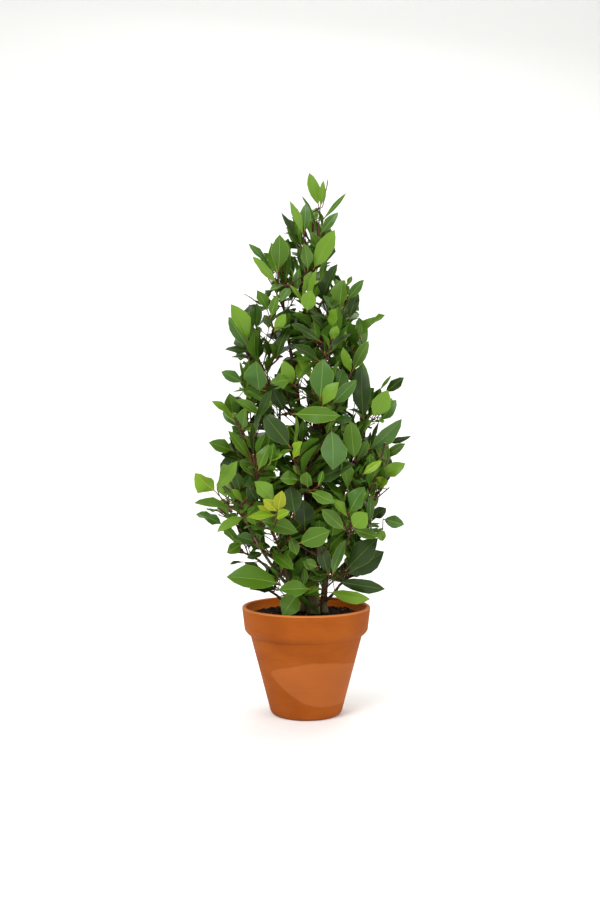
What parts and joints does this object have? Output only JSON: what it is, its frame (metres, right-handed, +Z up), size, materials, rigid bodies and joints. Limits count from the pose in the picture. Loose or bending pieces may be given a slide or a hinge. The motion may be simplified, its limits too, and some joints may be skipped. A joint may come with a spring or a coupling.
{
  "type": "potted bay laurel shrub of conical shape",
  "caption": "Bushy conical bay laurel with slender stems and pointed glossy leaves, growing in a round tapered clay pot with a plain rim band.",
  "frame": {"origin": "centre of the flat underside of the pot, on the pot's axis", "axes": "+Z up along the pot's axis, -Y towards the viewer of the picture, +X to the viewer's right"},
  "size_m": [0.3683, 0.3571, 0.9273],
  "materials": {
    "terracotta": "matt unglazed orange clay",
    "compost": "moist, crumbly and nearly black",
    "bark": "olive to grey brown, finely cracked",
    "foliage": "leathery green leaves with a soft gloss",
    "young_foliage": "young yellow green leaves with a soft gloss"
  },
  "bodies": {
    "root": {"pot": "terracotta", "soil": "compost", "stem_leader": "bark", "stem_upper_left": "bark", "stem_left": "bark", "stem_right": "bark", "stem_back": "bark", "stem_back_left": "bark", "bough_01_olive_shoot": "bark", "bough_02_low_left": "bark", "bough_03_low_right": "bark", "bough_04_rim_right": "bark", "bough_05_left_low": "bark", "bough_06_left_tuft": "bark", "bough_07_yellow_tuft": "bark", "bough_08_low_front": "bark", "bough_09_middle_tuft": "bark", "bough_10_high_front": "bark", "bough_11_upper_left": "bark", "bough_12_upper_right": "bark", "bough_13_high_right": "bark", "bough_14_right_side": "bark", "bough_15_low_side": "bark", "bough_16_back": "bark", "bough_17_back": "bark", "bough_18_back_left": "bark", "bough_19_back_right": "bark", "bough_20_back": "bark", "bough_21_front": "bark", "bough_22_front_left": "bark", "bough_23_right": "bark", "leaves_end_leader": "foliage", "leaves_end_upper_left": "foliage", "leaves_end_left": "foliage", "leaves_end_right": "foliage", "leaves_end_back": "foliage", "leaves_end_back_left": "foliage", "leaves_01_olive_shoot": "foliage", "leaves_02_low_left": "foliage", "leaves_03_low_right": "foliage", "leaves_04_rim_right": "foliage", "leaves_05_left_low": "foliage", "leaves_06_left_tuft": "young_foliage", "leaves_07_yellow_tuft": "young_foliage", "leaves_08_low_front": "foliage", "leaves_09_middle_tuft": "foliage", "leaves_10_high_front": "foliage", "leaves_11_upper_left": "young_foliage", "leaves_12_upper_right": "foliage", "leaves_13_high_right": "foliage", "leaves_14_right_side": "foliage", "leaves_15_low_side": "foliage", "leaves_16_back": "foliage", "leaves_17_back": "foliage", "leaves_18_back_left": "foliage", "leaves_19_back_right": "foliage", "leaves_20_back": "foliage", "leaves_21_front": "foliage", "leaves_22_front_left": "foliage", "leaves_23_right": "foliage"}
  },
  "joints": []
}
